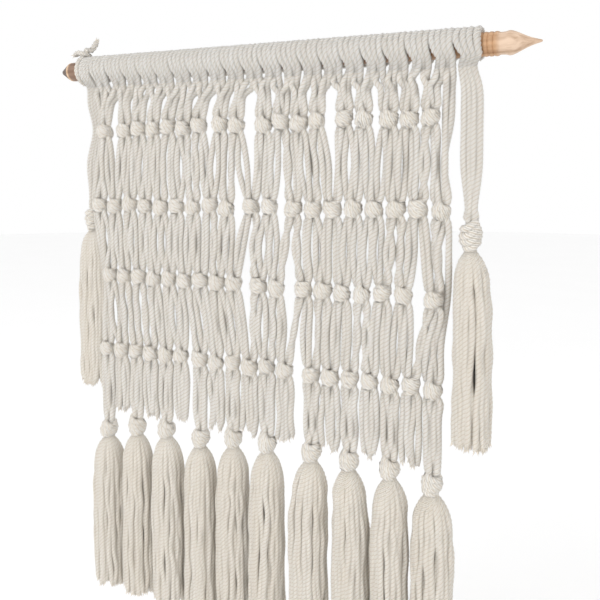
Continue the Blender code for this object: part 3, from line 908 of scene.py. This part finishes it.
class MACRAME_OT_net(bpy.types.Operator):
    """Hitch the yarns to the rod and knot the net, down to the fringe and the tassels' heads"""

    bl_idname = "macrame.net"
    bl_label = "Heading, net, fringe and heads"

    def execute(self, context):
        settings = context.scene.macrame
        yarn = settings.yarn
        cream = cotton("net_cotton", yarn, 0.0, 0.75)
        # Painted shade: the heading is the net's own yarn, painted darker and cooler
        heading_shade_cotton = cotton("heading_cotton_painted_shade", yarn, -0.35, 0.75, 0.88)
        parts = net_yarns(settings)
        for side_name, lengths in side_bundles(settings).items():
            parts.setdefault(side_name, []).extend(lengths)
        for number, (part, lengths) in enumerate(parts.items()):
            material = heading_shade_cotton if part == "heading" else cream
            piece = yarn_piece("knotted_" + part, lengths, material, yarn, 100 + number)
            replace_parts(piece, part)
        return {"FINISHED"}


def side_bundles(settings):
    """The yarns of the two outermost hitches, down to the side tassels' heads."""
    rng = np.random.default_rng(11)
    lengths = []
    for side, hitch in zip(SIDES, (0, HITCHES - 1)):
        hitch_x, _ = hitch_place(hitch)
        under = rod_height(hitch_x) - UNDER_ROD
        settle = under - BUNDLE_SETTLE
        bundle, head_part = side.name + "_bundle", side.name + "_head"
        head = Knot(side.head_x, side.head_y, side.head_height, SIDE_HEAD_WIDTH, SIDE_HEAD_HEIGHT,
                    SIDE_HEAD_TILT, 0.0, -1)
        for order in range(YARNS_A_HITCH):
            offset = (order - MIDDLE_YARN) * PACKING
            stops = hitch_route(hitch, order, "heading", rng)
            top, settled, halfway, above = (offset * apart for apart in BUNDLE_APART)
            stops += [
                Stop(hitch_x + offset * TONGUE_CLOSE_RIGHT, side.under_y, under, 0.95, bundle),
                Stop(side.top_x + top, side.head_y * 0.5, under - 0.018, 1.0, bundle),
                Stop(side.top_x + settled + rng.normal() * 0.0004, side.head_y + rng.normal() * 0.0008,
                     settle, 1.0, bundle),
                Stop(side.head_x + halfway + rng.normal() * 0.0006, side.head_y + rng.normal() * 0.0008,
                     (settle + side.head_height + 0.02) / 2, 1.0, bundle),
                Stop(side.head_x + above, side.head_y + 0.0015 * (-1) ** order,
                     side.head_height + 0.0205, 1.0, head_part),
            ]
            stops += knot_route(head, order, head_part, rng, thin=1.2, neck=0.5)[:-2]
            lengths.append(lay(stops, settings.yarn, rng))
    return split(lengths)


class MACRAME_OT_skirts(bpy.types.Operator):
    """Hang the skirts of the ten bottom tassels and the two side tassels"""

    bl_idname = "macrame.skirts"
    bl_label = "Tassel skirts"

    def execute(self, context):
        yarn = context.scene.macrame.yarn
        # Painted light and shade: the skirts are the same yarn, painted brighter and warmer
        warm = cotton("skirt_cotton_painted_light_and_shade", yarn, 0.75, 0.7, 1.06)
        heads = knot_places(ROWS[-1])[::2]
        feet = [head + tassel.skirt_shift for head, tassel in zip(heads, TASSELS)]
        gaps = [right - left - SKIRT_GAP for left, right in zip(feet, feet[1:])]
        rooms = [SKIRT_HALF_WIDTH, *(min(SKIRT_HALF_WIDTH, gap / 2) for gap in gaps), SKIRT_HALF_WIDTH]
        for index, tassel in enumerate(TASSELS):
            part = f"tassel_{index + 1:02d}_skirt"
            top = tassel.head_height - HEAD_HALF_HEIGHT
            lengths = skirt_yarns(top, TASSEL_FLOOR, heads[index], feet[index], 0.0, rooms[index],
                                  rooms[index + 1], SKIRT_HALF_DEPTH, yarn, part, 200 + index)
            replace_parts(yarn_piece("hung_" + part, lengths, warm, yarn, 300 + index), part)
        for index, side in enumerate(SIDES):
            part = side.name + "_skirt"
            top = side.head_height - SIDE_HEAD_HALF_HEIGHT
            lengths = skirt_yarns(top, side.floor, side.head_x, side.head_x + side.lean_x, side.head_y,
                                  side.half_width, side.half_width, side.half_depth, yarn, part,
                                  230 + index)
            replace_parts(yarn_piece("hung_" + part, lengths, warm, yarn, 330 + index), part)
        return {"FINISHED"}


class MACRAME_OT_tie(bpy.types.Operator):
    """Loop the tie round the rod's left end and knot it on top"""

    bl_idname = "macrame.tie"
    bl_label = "Tie"

    def execute(self, context):
        yarn = context.scene.macrame.yarn
        rng = np.random.default_rng(7)
        part = "tie"
        loop_radius = ROD_RADIUS + 0.0004 + yarn.thickness / 2
        axis = rod_height(TIE_LOOP_X)
        knot_z = axis + loop_radius + TIE_KNOT_RISE
        stops = [
            Stop(TIE_KNOT_X + x, y, knot_z + z, squeeze, part) for x, y, z, squeeze in TIE_START]
        for angle in TIE_TURNS:
            turn = math.radians(angle)
            stops.append(Stop(TIE_LOOP_X + 0.0008 * (angle - 180) / 180, loop_radius * math.sin(turn),
                              axis + loop_radius * math.cos(turn), 1.0, part))
        stops += [
            Stop(TIE_KNOT_X + x, y, knot_z + z, squeeze, part) for x, y, z, squeeze in TIE_FINISH]
        length = lay(stops, yarn, rng, cut_start=True, cut_end=True, step=TIE_STEP)
        piece = yarn_piece("knotted_tie", [length], cotton("net_cotton", yarn, 0.0, 0.75), yarn, 50)
        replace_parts(piece, part)
        return {"FINISHED"}


class MACRAME_OT_stage(bpy.types.Operator):
    """Add the camera, the floor and the light"""

    bl_idname = "macrame.stage"
    bl_label = "Stage"

    def execute(self, context):
        settings = context.scene.macrame.stage
        scene = context.scene
        camera_data = bpy.data.cameras.new("camera")
        camera = bpy.data.objects.new("camera", camera_data)
        scene.collection.objects.link(camera)
        camera.location = CAMERA_PLACE
        camera.rotation_euler = tuple(math.radians(turn) for turn in CAMERA_TURN)
        camera_data.lens = settings.lens
        camera_data.sensor_width = 36.0
        camera_data.shift_x, camera_data.shift_y = CAMERA_SHIFT
        camera_data.clip_start = 0.01
        scene.camera = camera
        bpy.ops.object.select_all(action="DESELECT")
        bpy.ops.mesh.primitive_circle_add(
            vertices=96, radius=FLOOR_RADIUS, fill_type="NGON", location=(0.0, 0.0, FLOOR_HEIGHT))
        floor = context.object
        floor.name = "floor"
        bpy.ops.object.transform_apply(location=True, rotation=True, scale=True)
        floor.data.materials.append(plain_floor())
        for lamp in LAMPS:
            light = bpy.data.lights.new(lamp.name, "AREA")
            light.shape = "DISK"
            light.size = lamp.size
            light.energy = settings.key * lamp.share
            item = bpy.data.objects.new(lamp.name, light)
            item.location = lamp.place
            direction = LAMP_TARGET - Vector(lamp.place)
            item.rotation_euler = direction.to_track_quat("-Z", "Y").to_euler()
            scene.collection.objects.link(item)
        world = bpy.data.worlds.new("surroundings")
        world.use_nodes = True
        background = world.node_tree.nodes["Background"]
        background.inputs["Color"].default_value = (1.0, 1.0, 1.0, 1.0)
        background.inputs["Strength"].default_value = settings.sky
        scene.world = world
        scene.view_settings.view_transform = "Standard"
        return {"FINISHED"}


class MacrameSettings(bpy.types.PropertyGroup):
    """All settings of the wall hanging"""

    yarn: PointerProperty(
        type=MacrameYarn, name="Yarn", description="The yarn's sizes and colours")
    knots: PointerProperty(type=MacrameKnots, name="Knots", description="How even the knots are")
    rod: PointerProperty(type=MacrameRod, name="Rod", description="The rod's colours")
    stage: PointerProperty(type=MacrameStage, name="Stage", description="Camera and light")


class MACRAME_PT_panel(bpy.types.Panel):
    """Lists the operators and the settings"""

    bl_idname = "MACRAME_PT_panel"
    bl_label = "Macrame wall hanging"
    bl_space_type = "VIEW_3D"
    bl_region_type = "UI"
    bl_category = "Macrame"

    def draw(self, context):
        settings = context.scene.macrame
        for group in (settings.yarn, settings.knots, settings.rod, settings.stage):
            box = self.layout.box()
            for key in group.__annotations__:
                box.prop(group, key)
        for operator in OPERATORS:
            self.layout.operator(operator.bl_idname)


OPERATORS = (MACRAME_OT_stage, MACRAME_OT_rod, MACRAME_OT_net, MACRAME_OT_skirts, MACRAME_OT_tie)
CLASSES = (
    MacrameYarn, MacrameKnots, MacrameRod, MacrameStage, MacrameSettings, *OPERATORS, MACRAME_PT_panel)


def register():
    for item in CLASSES:
        bpy.utils.register_class(item)
    bpy.types.Scene.macrame = PointerProperty(type=MacrameSettings)


def unregister():
    del bpy.types.Scene.macrame
    for item in reversed(CLASSES):
        bpy.utils.unregister_class(item)


def main():
    register()
    bpy.ops.macrame.stage()
    bpy.ops.macrame.rod()
    bpy.ops.macrame.net()
    bpy.ops.macrame.skirts()
    bpy.ops.macrame.tie()


if __name__ == "__main__":
    main()
